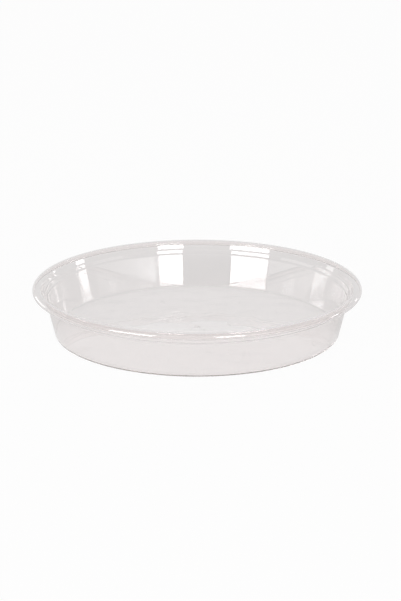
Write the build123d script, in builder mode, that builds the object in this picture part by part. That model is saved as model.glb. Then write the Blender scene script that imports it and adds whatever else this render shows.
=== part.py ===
from build123d import *
from math import asin, atan2, cos, degrees, hypot, radians, sin, tan
import os

# Plant saucer, moulded in one piece from clear plastic.
# A flat round floor rises into a tapered wall, a small shoulder, a flared band and a rolled rim.
# The origin is the centre of the underside, +Z is up, and all lengths are millimetres.

# Overall sizes
overall_diameter = 250.0
overall_height = 37.0
foot_diameter = 217.5
skin = 0.8

# Foot, where the floor turns into the wall
foot_outer_round = 0.7
foot_inner_round = 0.4

# Shoulder and fine line inside the rim, each as a depth below the rim's top and a small step
shoulder_depth = 10.5
shoulder_rise = 1.1
shoulder_width = 1.0
shoulder_round = 0.22
line_depth = 6.9
line_rise = 1.0
line_width = 0.9
line_round = 0.2

# Flared band, in two stretches below and above the fine line
lower_flare = 14.0
upper_flare = 20.0

# Rolled rim: the band bends over a crest, rolls down and turns in under itself to a round end
crest_radius = 4.2
roll_radius = 3.4
hem_radius = 1.8
hem_turn = 55.0
hem_run = 0.2

# Gate mark in the middle of the underside, a shallow dimple with a short stub in it
dimple_diameter = 5.0
dimple_depth = 0.45
dimple_round = 0.2
stub_diameter = 2.0
stub_height = 0.3


def run_out(rise, lean):
    """How far a face moves outwards over a rise, when it leans out by an angle."""
    return rise * tan(radians(lean))


def swung(centre, radius, angle):
    """The point on a circle about a centre, at an angle from the horizontal."""
    return centre[0] + radius * cos(radians(angle)), centre[1] + radius * sin(radians(angle))


def behind(corner, lean_below, lean_above):
    """The outer face's corner behind an inside one, for the leans of the faces on its two sides."""
    middle = radians((lean_below + lean_above) / 2)
    reach = skin / cos(radians(lean_above - lean_below) / 2)
    return corner[0] + reach * cos(middle), corner[1] - reach * sin(middle)


# Centres of the rim's three arcs, and the seam where the straight band runs into the first
crest_centre = (overall_diameter / 2 - roll_radius, overall_height - crest_radius)
roll_centre = (overall_diameter / 2 - roll_radius, overall_height - roll_radius)
hem_centre = (overall_diameter / 2 - hem_radius, overall_height - roll_radius)
seam_angle = 180.0 - upper_flare
seam_x, seam_z = swung(crest_centre, crest_radius, seam_angle)

# Corners of the inside face, from the seam down: fine line, lower band, shoulder
line_z = overall_height - line_depth
upper_z = line_z + line_rise
upper_x = seam_x - run_out(seam_z - upper_z, upper_flare)
line_x = upper_x - line_width
shoulder_z = overall_height - shoulder_depth
band_z = shoulder_z + shoulder_rise
band_x = line_x - run_out(line_z - band_z, lower_flare)
wall_top_x = band_x - shoulder_width

# The wall leans so that its outer face, one skin away, starts at the edge of the foot
foot_to_top_x = wall_top_x - foot_diameter / 2
foot_to_top = hypot(foot_to_top_x, shoulder_z)
wall_draft = degrees(atan2(foot_to_top_x, shoulder_z) + asin(skin / foot_to_top))
foot_x = wall_top_x - run_out(shoulder_z - skin, wall_draft)

# Each turn of the wall: its inside corner, the leans below and above it, and its round
shoulder_lean = degrees(atan2(shoulder_width, shoulder_rise))
line_lean = degrees(atan2(line_width, line_rise))
turns = (
    ((wall_top_x, shoulder_z), wall_draft, shoulder_lean, shoulder_round),
    ((band_x, band_z), shoulder_lean, lower_flare, shoulder_round),
    ((line_x, line_z), lower_flare, line_lean, line_round),
    ((upper_x, upper_z), line_lean, upper_flare, line_round),
)


def hem_tip(depth):
    """The end of the hem's straight run, at a depth below the rim's surface."""
    return swung(swung(hem_centre, hem_radius - depth, -hem_turn), hem_run, -hem_turn - 90.0)


def rim(depth):
    """The rim's line at a depth below its surface: three arcs and the hem's short straight run."""
    CenterArc(crest_centre, crest_radius - depth, seam_angle, 90.0 - seam_angle)
    CenterArc(roll_centre, roll_radius - depth, 90.0, -90.0)
    CenterArc(hem_centre, hem_radius - depth, 0.0, -hem_turn)
    Line(swung(hem_centre, hem_radius - depth, -hem_turn), hem_tip(depth))


with BuildPart() as saucer:
    # Half of the section: the inside face, the rim over and back, the outside face, the underside
    with BuildSketch(Plane.XZ) as section:
        with BuildLine():
            inside_corners = [corner for corner, *_ in turns]
            outside_corners = [behind(*turn[:3]) for turn in turns]
            Polyline((0, skin), (foot_x, skin), *inside_corners, (seam_x, seam_z))
            rim(0)
            CenterArc(hem_tip(skin / 2), skin / 2, -hem_turn, -180.0)
            rim(skin)
            seam_behind = swung(crest_centre, crest_radius - skin, seam_angle)
            Polyline((0, skin), (0, 0), (foot_diameter / 2, 0), *outside_corners, seam_behind)
        make_face()

        # Both faces of the sheet are rounded where they turn
        for inside_corner, outside_corner, turn in zip(inside_corners, outside_corners, turns):
            for corner in (inside_corner, outside_corner):
                fillet(section.vertices().sort_by_distance(corner)[0], turn[3])
        fillet(section.vertices().sort_by_distance((foot_x, skin))[0], foot_inner_round)
        fillet(section.vertices().sort_by_distance((foot_diameter / 2, 0))[0], foot_outer_round)
    revolve(axis=Axis.Z)

    # Gate mark: the dimple keeps the stub clear of what the saucer stands on
    with BuildSketch(Plane.XY):
        Circle(dimple_diameter / 2)
    extrude(amount=dimple_depth, mode=Mode.SUBTRACT)
    fillet(saucer.edges(Select.LAST).sort_by(Axis.Z)[0], dimple_round)
    with BuildSketch(Plane.XY.offset(dimple_depth - stub_height)):
        Circle(stub_diameter / 2)
    extrude(amount=stub_height)

os.makedirs("parts", exist_ok=True)
saucer.part.label = "saucer"
export_step(saucer.part, "parts/saucer.step")

print("volume", round(saucer.part.volume), "cubic mm, wall draft", round(wall_draft, 2), "degrees")
print("inside radius at the foot", round(foot_x, 2), "and at the shoulder", round(wall_top_x, 2))
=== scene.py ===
# %% [markdown]
# # A clear plastic plant saucer
#
# The saucer is one thin skin of clear plastic, turned about a single upright axis. A flat
# floor rises into a tapered wall, the wall steps out at a small shoulder, a flared band
# widens to the top, and the edge curls over into a rolled rim.
#
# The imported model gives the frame: its box, its one body and its one node. The visible
# saucer is made again here as a finer surface, in the same place and at the same size.

from math import radians

import bpy
import numpy as np
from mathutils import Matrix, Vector


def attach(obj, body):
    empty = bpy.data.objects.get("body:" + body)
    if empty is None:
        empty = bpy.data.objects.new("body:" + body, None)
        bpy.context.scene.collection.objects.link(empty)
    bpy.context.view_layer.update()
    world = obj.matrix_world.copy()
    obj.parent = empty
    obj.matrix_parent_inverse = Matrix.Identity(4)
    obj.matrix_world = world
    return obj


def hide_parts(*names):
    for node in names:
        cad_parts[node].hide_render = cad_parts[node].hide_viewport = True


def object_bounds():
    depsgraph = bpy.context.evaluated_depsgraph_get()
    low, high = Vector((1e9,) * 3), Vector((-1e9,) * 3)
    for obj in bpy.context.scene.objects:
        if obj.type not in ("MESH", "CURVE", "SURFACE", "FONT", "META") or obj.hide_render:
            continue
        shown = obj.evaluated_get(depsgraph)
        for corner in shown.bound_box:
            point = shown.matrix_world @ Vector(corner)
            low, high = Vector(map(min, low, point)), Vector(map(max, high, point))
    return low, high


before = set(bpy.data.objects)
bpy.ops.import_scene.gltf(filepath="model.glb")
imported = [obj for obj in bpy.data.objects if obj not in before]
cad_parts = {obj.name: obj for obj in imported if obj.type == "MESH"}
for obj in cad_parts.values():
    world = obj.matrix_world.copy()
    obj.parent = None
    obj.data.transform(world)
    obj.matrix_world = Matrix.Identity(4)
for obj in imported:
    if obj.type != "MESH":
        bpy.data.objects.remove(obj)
cad_low, cad_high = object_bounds()
print("saucer box in mm", [round(1000 * (high - low), 1) for low, high in zip(cad_low, cad_high)])

# %% [markdown]
# ## Sizes
#
# A turned piece is fully described by half of its section, so the sizes are few. They are
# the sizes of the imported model, in metres. Angles say how far a face leans out from the
# upright. Depths are taken down from the top of the rim, because on a real saucer the rim
# is what the eye lines everything up with.

# %% Section sizes
mm = 0.001
overall_radius = (cad_high.x - cad_low.x) / 2
overall_height = cad_high.z - cad_low.z
foot_radius = 108.75 * mm
skin = 0.8 * mm
foot_inner_round = 0.4 * mm
foot_outer_round = 0.7 * mm
shoulder_depth = 10.5 * mm
shoulder_rise = 1.1 * mm
shoulder_width = 1.0 * mm
shoulder_round = 0.22 * mm
line_depth = 6.9 * mm
line_rise = 1.0 * mm
line_width = 0.9 * mm
line_round = 0.2 * mm
lower_flare = radians(14.0)
upper_flare = radians(20.0)
crest_radius = 4.2 * mm
roll_radius = 3.4 * mm
hem_radius = 1.8 * mm
hem_turn = radians(-55.0)
hem_run = 0.2 * mm
print("rim is", round((overall_radius - foot_radius) / mm, 1), "mm outside the foot")

# %% [markdown]
# ## The half section
#
# The inside face is one line of corners, from the middle of the floor out to the start of
# the roll. The outside face is the same line moved outwards by the skin's thickness. At a
# corner the moved line meets itself on the line that halves the turn, so each outside
# corner is worked out from the lean of the two faces beside it.

# %% Inside corners, from the crest down to the foot
top_x = overall_radius - roll_radius
crest_centre = np.array([top_x, overall_height - crest_radius])
roll_centre = np.array([top_x, overall_height - roll_radius])
seam = crest_centre + crest_radius * np.array([-np.cos(upper_flare), np.sin(upper_flare)])
line_z = overall_height - line_depth
upper = np.array([0.0, line_z + line_rise])
upper[0] = seam[0] - (seam[1] - upper[1]) * np.tan(upper_flare)
line = upper - np.array([line_width, line_rise])
band = np.array([0.0, overall_height - shoulder_depth + shoulder_rise])
band[0] = line[0] - (line[1] - band[1]) * np.tan(lower_flare)
wall_top = band - np.array([shoulder_width, shoulder_rise])

foot_to_top = wall_top - np.array([foot_radius, 0.0])
wall_draft = np.arctan2(*foot_to_top) + np.arcsin(skin / np.hypot(*foot_to_top))
foot = np.array([wall_top[0] - (wall_top[1] - skin) * np.tan(wall_draft), skin])
inside = np.array([foot, wall_top, band, line, upper])
print("wall leans out by", round(float(np.degrees(wall_draft)), 2), "degrees")

# %% Outside corners
def moved_out(corners, leans, distance):
    """Moves a line of corners sideways: each goes out along the line that halves its turn,
    by the distance divided by the cosine of half the turn, so every face moves equally."""
    half_turn = (leans[:-1] - leans[1:]) / 2
    middle = (leans[:-1] + leans[1:]) / 2
    out = np.stack([np.cos(middle), -np.sin(middle)], axis=1)
    return corners + out * (distance / np.cos(half_turn))[:, None]


shoulder_lean = np.arctan2(shoulder_width, shoulder_rise)
line_lean = np.arctan2(line_width, line_rise)
leans = np.array([np.pi / 2, wall_draft, shoulder_lean, lower_flare, line_lean, upper_flare])
outside = moved_out(inside, leans, skin)

print("outside of the foot is at", np.round(outside[0] / mm, 2), "mm")

# %% [markdown]
# Sharp corners look wrong on moulded plastic, which always has a small round. Each corner
# is swapped for a short arc that touches both of its faces. Straight runs get extra points
# close to their ends, so that smooth shading bends only in the rounds and the flat faces
# stay flat.

# %% Rounds and runs
def arc(centre, radius, start, stop, count):
    """Points on a circle: centre plus radius times (cosine, sine) of evenly spaced angles."""
    angle = np.linspace(start, stop, count)
    return centre + radius * np.stack([np.cos(angle), np.sin(angle)], axis=1)


def rounded(points, radii, steps=4):
    """Swaps each corner of a line for an arc. For a turn of angle t and radius r the arc
    starts r * tan(t / 2) before the corner, and its centre stands r off the first face."""
    before = points[1:-1] - points[:-2]
    after = points[2:] - points[1:-1]
    before = before / np.linalg.norm(before, axis=1)[:, None]
    after = after / np.linalg.norm(after, axis=1)[:, None]
    cross = before[:, 0] * after[:, 1] - before[:, 1] * after[:, 0]
    turn = np.arctan2(cross, (before * after).sum(axis=1))
    normal = np.stack([-before[:, 1], before[:, 0]], axis=1) * np.sign(turn)[:, None]
    start = points[1:-1] - before * (radii * np.tan(np.abs(turn) / 2))[:, None]
    spoke = (-normal * radii[:, None])[:, None, :]
    crossed = np.stack([-spoke[..., 1], spoke[..., 0]], axis=-1)
    share = (np.linspace(0, 1, steps)[None, :] * turn[:, None])[..., None]
    arcs = (start + normal * radii[:, None])[:, None, :]
    arcs = arcs + spoke * np.cos(share) + crossed * np.sin(share)
    return np.concatenate([points[:1], arcs.reshape(-1, 2), points[-1:]])


def with_runs(points, longest, near):
    """Adds points to the long runs of a line: one a short way in from each end of the run,
    and between them evenly spaced points that are no further apart than the longest."""
    step = np.diff(points, axis=0)
    length = np.hypot(step[:, 0], step[:, 1])
    extra = np.where(length > 4 * near, 2 + (length / longest).astype(int), 0)
    run = np.repeat(np.arange(len(step)), 1 + extra)
    rank = np.arange(len(run)) - np.repeat(np.cumsum(1 + extra) - 1 - extra, 1 + extra)
    edge = near / length[run]
    inner = edge + (rank - 1) / np.maximum(extra[run] - 1, 1) * (1 - 2 * edge)
    share = np.where(rank == 0, 0.0, inner)
    return np.concatenate([points[run] + step[run] * share[:, None], points[-1:]])


# %% [markdown]
# The closed half section starts on the axis at the top of the floor, runs up the inside,
# round the roll, back down the outside and along the underside to the axis again. The gate
# mark is part of it: a shallow dimple in the middle of the underside with a short stub,
# where the plastic flowed into the mould.

# %% Closed half section
dimple_radius = 2.5 * mm
dimple_depth = 0.45 * mm
dimple_round = 0.2 * mm
stub_radius = 1.0 * mm
stub_height = 0.3 * mm
stub_round = 0.08 * mm

hem_centre = roll_centre + np.array([roll_radius - hem_radius, 0.0])
rim_arcs = (
    (crest_centre, crest_radius, np.pi - upper_flare, np.pi / 2, 12),
    (roll_centre, roll_radius, np.pi / 2, 0.0, 12),
    (hem_centre, hem_radius, 0.0, hem_turn, 7),
)
rim_inside = np.concatenate([arc(c, r, a, b, n)[:-1] for c, r, a, b, n in rim_arcs])
rim_outside = np.concatenate([arc(c, r - skin, a, b, n)[:-1] for c, r, a, b, n in rim_arcs])
tip = skin / 2
hem_out = np.array([np.cos(hem_turn), np.sin(hem_turn)])
hem_along = np.array([hem_out[1], -hem_out[0]])
hem_end = hem_centre + hem_out * (hem_radius - tip) + hem_along * hem_run
curl_end = arc(hem_end, tip, hem_turn, hem_turn - np.pi, 7)

bend_rounds = np.array([shoulder_round, shoulder_round, line_round, line_round])
inner_line = rounded(
    np.concatenate([[[0.0, skin]], inside, rim_inside[:1]]),
    np.concatenate([[foot_inner_round], bend_rounds]),
)
gate_mark = np.array([
    [dimple_radius, 0.0],
    [dimple_radius, dimple_depth],
    [stub_radius, dimple_depth],
    [stub_radius, dimple_depth - stub_height],
    [0.0, dimple_depth - stub_height],
])
gate_rounds = np.array([dimple_round, dimple_round, stub_round, stub_round])
outer_line = rounded(
    np.concatenate([rim_outside[:1], outside[::-1], gate_mark]),
    np.concatenate([bend_rounds[::-1], [foot_outer_round], gate_rounds]),
)
half_section = np.concatenate([
    inner_line, rim_inside[1:], curl_end, rim_outside[:0:-1], outer_line,
])
half_section = with_runs(half_section, longest=60 * mm, near=0.15 * mm)
print(len(half_section), "points round the half section")

# %% [markdown]
# ## Turning the section
#
# Turning a section about Z is what a lathe does, and a grid of numbers does it in one go:
# one direction of the grid runs along the section, the other round the circle. The two ends
# of the section lie on the axis, so there the grid closes to one point, with a fan of
# triangles round it.

# %% A turned surface
def turned(name, section, sides):
    """Turns (radius, height) points about Z: x = radius * cos, y = radius * sin, z = height.
    The first and last points lie on the axis, and each becomes a single vertex."""
    angle = np.arange(sides) * 2 * np.pi / sides
    ring = section[1:-1]
    body = np.stack([
        ring[:, None, 0] * np.cos(angle),
        ring[:, None, 0] * np.sin(angle),
        np.repeat(ring[:, None, 1], sides, axis=1),
    ], axis=-1).reshape(-1, 3)
    ends = np.array([[0, 0, section[0, 1]], [0, 0, section[-1, 1]]])
    points = np.concatenate([body, ends])

    here = np.arange(sides)
    following = (here + 1) % sides
    row = (np.arange(len(ring) - 1) * sides)[:, None]
    quads = np.stack([row + here, row + following, row + following + sides, row + here + sides], axis=-1)
    quads = quads[..., ::-1].reshape(-1, 4)
    last = (len(ring) - 1) * sides
    top_fan = np.stack([here, following, np.full(sides, len(body))], axis=1)
    low_fan = np.stack([last + following, last + here, np.full(sides, len(body) + 1)], axis=1)

    mesh = bpy.data.meshes.new(name)
    corners = np.concatenate([quads.ravel(), top_fan.ravel(), low_fan.ravel()])
    starts = np.concatenate([
        np.arange(len(quads)) * 4,
        len(quads) * 4 + np.arange(2 * sides) * 3,
    ])
    mesh.vertices.add(len(points))
    mesh.vertices.foreach_set("co", points.ravel())
    mesh.loops.add(len(corners))
    mesh.loops.foreach_set("vertex_index", corners)
    mesh.polygons.add(len(starts))
    mesh.polygons.foreach_set("loop_start", starts)
    mesh.update(calc_edges=True)
    mesh.validate()
    mesh.shade_smooth()
    made = bpy.data.objects.new(name, mesh)
    bpy.context.scene.collection.objects.link(made)
    return made


saucer = turned("clear_saucer", half_section, sides=660)
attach(saucer, "root")
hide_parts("saucer")
saucer.data.calc_loop_triangles()
print("saucer has", len(saucer.data.loop_triangles), "triangles")

# %% [markdown]
# ## Clear plastic
#
# Clear plastic has hardly a colour of its own: what is seen is the paper behind it, a little
# darker and warmer, and the lights in its two faces. The Principled shader does this with
# full transmission and an index of refraction of 1.5. Its base colour is what is left of
# white after one passage through the skin.
#
# A finish is a small network of nodes. Four helpers keep the network readable: one adds any
# node, and the other three add the kinds that come back again and again.

# %% Clear plastic
plastic = bpy.data.materials.new("clear_plastic")
plastic.use_nodes = True
shader = plastic.node_tree.nodes["Principled BSDF"]
shader.inputs["Transmission Weight"].default_value = 1.0
shader.inputs["IOR"].default_value = 1.5


def node(tree, kind, values=(), **settings):
    """Adds a node, sets its properties, and sets or links its inputs. Each input is given
    as a pair of a name or number and either a value or another node's output socket."""
    made = tree.nodes.new(kind)
    for key, value in settings.items():
        setattr(made, key, value)
    for key, value in values:
        if isinstance(value, bpy.types.NodeSocket):
            tree.links.new(value, made.inputs[key])
        else:
            made.inputs[key].default_value = value
    return made


def stretched_noise(tree, place, size, detail=2.0, roughness=0.5):
    """Noise whose features are about as large as the given size, in mm along X, Y and Z."""
    scale = [1.0 / (each * mm) for each in size]
    mapped = node(tree, "ShaderNodeMapping", [("Vector", place), ("Scale", scale)])
    return node(tree, "ShaderNodeTexNoise", [
        ("Vector", mapped.outputs[0]), ("Scale", 1.0), ("Detail", detail), ("Roughness", roughness),
    ]).outputs["Fac"]


def ranged(tree, value, low, high, to_low, to_high):
    """Maps a value from one range to another and stops at both ends."""
    return node(tree, "ShaderNodeMapRange", [
        ("Value", value), ("From Min", low), ("From Max", high), ("To Min", to_low), ("To Max", to_high),
    ]).outputs[0]


def math(tree, operation, first, second=0.0):
    """One step of arithmetic as a node."""
    return node(tree, "ShaderNodeMath", [(0, first), (1, second)], operation=operation).outputs[0]


# %% [markdown]
# Moulded skins are never quite even, and that is most of what tells plastic from glass. The
# wall is drawn out in the mould, so it has faint upright streaks, which end below the rim. The
# floor is a little wavy, and it has the hair scratches and the specks of dust of a thing that
# is stacked in a shop. Each of these is a noise in the object's own coordinates, with its
# features measured in millimetres. The height above the ground tells floor, wall and rim apart.

# %% Streaks and waves
floor_ends, wall_begins = 1.0 * mm, 2.0 * mm
streaks_fade, streaks_end = 28.0 * mm, 30.5 * mm

tree = plastic.node_tree
place = node(tree, "ShaderNodeTexCoord").outputs["Object"]
height = node(tree, "ShaderNodeSeparateXYZ", [(0, place)]).outputs["Z"]
above_floor = ranged(tree, height, floor_ends, wall_begins, 0.0, 1.0)
below_rim = ranged(tree, height, streaks_fade, streaks_end, 1.0, 0.0)
on_wall = math(tree, "MULTIPLY", above_floor, below_rim)

sag = stretched_noise(tree, place, (34, 34, 34), detail=1.0)
streaks = stretched_noise(tree, place, (1.6, 1.6, 60), detail=2.0)
streak_patches = ranged(tree, stretched_noise(tree, place, (38, 38, 38)), 0.45, 0.65, 0.0, 1.0)
streaks = math(tree, "MULTIPLY", streaks, math(tree, "MULTIPLY", streak_patches, on_wall))

# %% [markdown]
# Hair scratches are thin level lines of a noise: where the noise is very close to its middle
# value there is a line, and everywhere else there is none. A second noise keeps the lines
# only in patches, because stacked saucers rub only where they touch. Dust is one dot in each
# cell of a pattern of cells, and most of the dots are too small to show.

# %% Scratches and dust
bent = stretched_noise(tree, place, (17, 60, 30), detail=1.5)
hair = ranged(tree, math(tree, "ABSOLUTE", math(tree, "SUBTRACT", bent, 0.5)), 0.0, 0.004, 1.0, 0.0)
rubbed = ranged(tree, stretched_noise(tree, place, (26, 26, 26)), 0.52, 0.62, 0.0, 1.0)
hair = math(tree, "MULTIPLY", hair, rubbed)

speck_spacing = 5 * mm
speck_place = node(tree, "ShaderNodeMapping", [("Vector", place), ("Scale", [1 / speck_spacing] * 3)])
specks = node(tree, "ShaderNodeTexVoronoi", [("Vector", speck_place.outputs[0]), ("Scale", 1.0)])
speck_size = ranged(tree, specks.outputs["Color"], 0.72, 1.0, 0.0, 0.09)
dust = math(tree, "LESS_THAN", specks.outputs["Distance"], speck_size)

# %% [markdown]
# The dust only darkens the colour. Smudges, scratches and streaks blur the reflections a
# little, and waves, streaks and scratches bend them. The waves are strong on the floor and
# nearly gone on the wall, because a wall that stands upright stays straighter than a floor.

# %% Tint, gloss and bump
tint = node(tree, "ShaderNodeMix", [
    ("Factor", dust), ("A", (0.965, 0.942, 0.938, 1)), ("B", (0.55, 0.52, 0.5, 1)),
], data_type="RGBA")
tree.links.new(tint.outputs["Result"], shader.inputs["Base Color"])

smudges = stretched_noise(tree, place, (20, 20, 20), detail=3.0)
gloss = ranged(tree, smudges, 0.35, 0.7, 0.005, 0.035)
gloss = math(tree, "ADD", gloss, math(tree, "MULTIPLY", hair, 0.25))
gloss = math(tree, "ADD", gloss, math(tree, "MULTIPLY", streaks, 0.12))
tree.links.new(gloss, shader.inputs["Roughness"])

wave = ranged(tree, height, floor_ends, wall_begins, 0.5, 0.03)
uneven = math(tree, "ADD", math(tree, "MULTIPLY", sag, wave), math(tree, "MULTIPLY", streaks, 0.004))
uneven = math(tree, "ADD", uneven, math(tree, "MULTIPLY", hair, -0.003))
bump = node(tree, "ShaderNodeBump", [("Height", uneven), ("Strength", 1.0), ("Distance", 1.0 * mm)])
tree.links.new(bump.outputs[0], shader.inputs["Normal"])

# %% [markdown]
# The plastic also takes a little light away inside its skin. Straight through 0.8 mm that is
# next to nothing. Light that runs along inside the skin goes a hundred times as far, and it
# is what the eye sees at the foot: a thin grey line all the way round.

# %% Inside the skin
inner = node(tree, "ShaderNodeVolumeAbsorption", [("Color", (0.8, 0.78, 0.77, 1)), ("Density", 14.0)])
tree.links.new(inner.outputs[0], tree.nodes["Material Output"].inputs["Volume"])
saucer.data.materials.append(plastic)
print("clear plastic has", len(tree.nodes), "nodes")

# %% [markdown]
# ## Paper under the saucer
#
# The saucer stands on white paper that runs out of sight. The paper is a hair below the
# underside, as a real sheet is, so that light can travel in the gap between them. Seen by
# the camera it is nearly all plain white, which leaves only a breath of the saucer's shadow.
# Seen through the plastic, or in its faces, that white is held back, because clear plastic
# shows up only against a tone that is not quite white. How far it is held back is partly a
# painted shadow of the saucer: least under the front of the saucer, more under the back, and
# most on the open paper close round the foot, where that shadow falls.

# %% Paper
paper_gap = 0.1 * mm
paper_reach = 8.0
sheet = np.array([[-1, -1], [1, -1], [1, 1], [-1, 1]]) * paper_reach
paper_mesh = bpy.data.meshes.new("paper")
paper_mesh.from_pydata(np.column_stack([sheet, np.full(4, -paper_gap)]).tolist(), [], [(0, 1, 2, 3)])
paper = bpy.data.objects.new("paper", paper_mesh)
bpy.context.scene.collection.objects.link(paper)

paper_look = bpy.data.materials.new("paper")
paper_look.use_nodes = True
tree = paper_look.node_tree
lit = tree.nodes["Principled BSDF"]
lit.inputs["Roughness"].default_value = 1.0
lit.inputs["Specular IOR Level"].default_value = 0.0
place = node(tree, "ShaderNodeTexCoord").outputs["Object"]
fibres = ranged(tree, stretched_noise(tree, place, (3, 3, 3), detail=4.0), 0.3, 0.7, 0.0, 1.0)
fibre_tone = node(tree, "ShaderNodeMix", [
    ("Factor", fibres), ("A", (0.78, 0.757, 0.75, 1)), ("B", (0.80, 0.777, 0.77, 1)),
], data_type="RGBA")
tree.links.new(fibre_tone.outputs["Result"], lit.inputs["Base Color"])


def ways_of_looking(tree):
    """Two values, each 1 or 0: the first is 1 where the camera looks straight at a thing, the
    second where it is seen through the plastic or in its faces."""
    path = node(tree, "ShaderNodeLightPath").outputs
    return path["Is Camera Ray"], math(tree, "MAXIMUM", path["Is Transmission Ray"], path["Is Glossy Ray"])


straight, through = ways_of_looking(tree)
away = node(tree, "ShaderNodeVectorMath", [(0, place)], operation="LENGTH").outputs["Value"]
depth = node(tree, "ShaderNodeSeparateXYZ", [(0, place)]).outputs["Y"]
# Painted shadow: the white seen through the plastic falls from front to back and is lowest on the paper
# close round the foot, standing in for the saucer's shadow.
under = ranged(tree, depth, -30 * mm, 20 * mm, 0.85, 0.69)
round_foot_painted_shadow = ranged(tree, away, 200 * mm, 400 * mm, 0.5, 0.7)
held_back_with_painted_shadow = node(tree, "ShaderNodeMix", [
    ("Factor", ranged(tree, away, 100 * mm, 118 * mm, 0.0, 1.0)), ("A", under), ("B", round_foot_painted_shadow),
]).outputs["Result"]
white_share = math(tree, "MAXIMUM", math(tree, "MULTIPLY", straight, 0.96),
                   math(tree, "MULTIPLY", through, held_back_with_painted_shadow))
white = node(tree, "ShaderNodeEmission", [("Strength", 1.0)])
seen = node(tree, "ShaderNodeMixShader", [(0, white_share), (1, lit.outputs[0]), (2, white.outputs[0])])
tree.links.new(seen.outputs[0], tree.nodes["Material Output"].inputs["Surface"])
paper.data.materials.append(paper_look)
print("paper lies", round(paper_gap / mm, 2), "mm below the saucer")

# %% [markdown]
# ## The room
#
# The room is white. Looked at straight on it is full white, and through the plastic and in
# its faces it is a little below that, or the rim would vanish in front of it. As a light it
# is weaker still, so that together with the lamps it lights things at a plain level.

# %% World
world = bpy.data.worlds.new("studio")
bpy.context.scene.world = world
world.use_nodes = True
tree = world.node_tree
as_light, through_plastic = 0.48, 0.8
straight, through = ways_of_looking(tree)
strength = ranged(tree, through, 0.0, 1.0, as_light, through_plastic)
strength = math(tree, "MAXIMUM", strength, straight)
tree.links.new(strength, tree.nodes["Background"].inputs["Strength"])
tree.nodes["Background"].inputs["Color"].default_value = (1, 1, 1, 1)
print("room is white at", as_light, "as a light and", through_plastic, "through the plastic")

# %% [markdown]
# ## Lamps
#
# Two large softboxes stand in front, one on each side of the camera. Their reflections are
# the two bright windows in the far wall, where each shows on the other side. Beside the right
# softbox stands a row of cards, each dimmer than the one before: in the wall they are the glow
# that fades away from the left window. The lamps at the sides and behind give the upright
# streaks on the left and right walls.
#
# Each lamp is given by the angles that it covers as seen from the saucer, because those are
# what its reflection shows. The side walls mirror what lies almost level with them, so the
# lamps begin just above the paper, and the left panel stands close by for the same reason.

# %% Lamps
def softbox(name, from_azimuth, to_azimuth, from_elevation, to_elevation, radiance, distance=2.2):
    """A rectangular lamp that faces the saucer and covers a span of azimuths, measured from
    the front towards the right, and a span of elevations, in degrees. A lamp's power is its
    radiance times pi times its area."""
    azimuth = radians((from_azimuth + to_azimuth) / 2)
    elevation = radians((from_elevation + to_elevation) / 2)
    width = 2 * distance * np.tan(radians((to_azimuth - from_azimuth) / 2))
    height = 2 * distance * np.tan(radians((to_elevation - from_elevation) / 2))
    lamp = bpy.data.lights.new(name, "AREA")
    lamp.shape = "RECTANGLE"
    lamp.size, lamp.size_y = width, height
    lamp.energy = radiance * np.pi * width * height
    away = Vector((
        np.sin(azimuth) * np.cos(elevation), -np.cos(azimuth) * np.cos(elevation), np.sin(elevation),
    ))
    holder = bpy.data.objects.new(name, lamp)
    holder.location = away * distance
    holder.rotation_euler = away.to_track_quat("Z", "Y").to_euler()
    holder.visible_camera = False
    bpy.context.scene.collection.objects.link(holder)


glow_width = 5.0
glow_starts = np.arange(34.5, 89.5, glow_width)
glow_radiances = 0.3 + 2.7 * np.exp(-(glow_starts - 34) / 15)

softbox("right_softbox", 12, 31.6, 0.5, 28, 6.0)
for number, (start, radiance) in enumerate(zip(glow_starts, glow_radiances)):
    softbox(f"right_glow_{number}", start, start + glow_width, 0.3, 10, radiance)
softbox("right_strip", 99, 108, 0.3, 14, 4.2)
softbox("right_far_strip", 135.5, 139, 0.3, 12, 2.2)
softbox("left_softbox", -59.3, -28.2, 0.5, 28, 6.0)
softbox("left_glow", -107, -61, 0.3, 9, 0.85)
softbox("left_panel", -134, -113, 0.03, 11, 1.6, distance=0.6)
print(len(bpy.data.lights), "lamps")

# %% [markdown]
# Light is caught inside the skin and runs along it like in a light guide, above all in the
# tight curl of the rim. A path that is cut off there renders black, and the rim fills with
# dark lines. So the paths may turn many more times than in an opaque thing, and it is the
# absorption inside the skin that ends them, little by little, as it does in the real one.

# %% Long light paths
most_bounces = 400
bpy.context.scene.cycles.max_bounces = most_bounces
bpy.context.scene.cycles.transmission_bounces = most_bounces
bpy.context.scene.cycles.glossy_bounces = most_bounces

# %% [markdown]
# ## Camera
#
# The rim and the foot are circles, and in a picture each of them is an ellipse. How flat the
# two ellipses are gives the height of the eye, and how that changes from the far edge to the
# near one gives its distance. The camera here was fitted to both, and the two shifts place
# the saucer in the frame without turning the camera away.

# %% Camera
camera_distance = 1.216
camera_elevation = radians(16.96)
focal_pixels = 1595.0
shift_pixels = (3.417, -13.48)
image_height = 601.0
sensor = 36.0
aim = Vector((0, 0, 32.9 * mm))
eye = bpy.data.cameras.new("camera")
eye.sensor_width = sensor
eye.lens = sensor * focal_pixels / image_height
eye.shift_x = shift_pixels[0] / image_height
eye.shift_y = shift_pixels[1] / image_height
camera = bpy.data.objects.new("camera", eye)
toward = Vector((0, -np.cos(camera_elevation), np.sin(camera_elevation)))
camera.location = aim + toward * camera_distance
camera.rotation_euler = toward.to_track_quat("Z", "Y").to_euler()
bpy.context.scene.collection.objects.link(camera)
bpy.context.scene.camera = camera
print("camera has a lens of", round(eye.lens, 1), "mm")

# %% [markdown]
# ## Finish
#
# The Standard view shows colours as they are written.

# %% Finish
bpy.context.scene.view_settings.view_transform = "Standard"
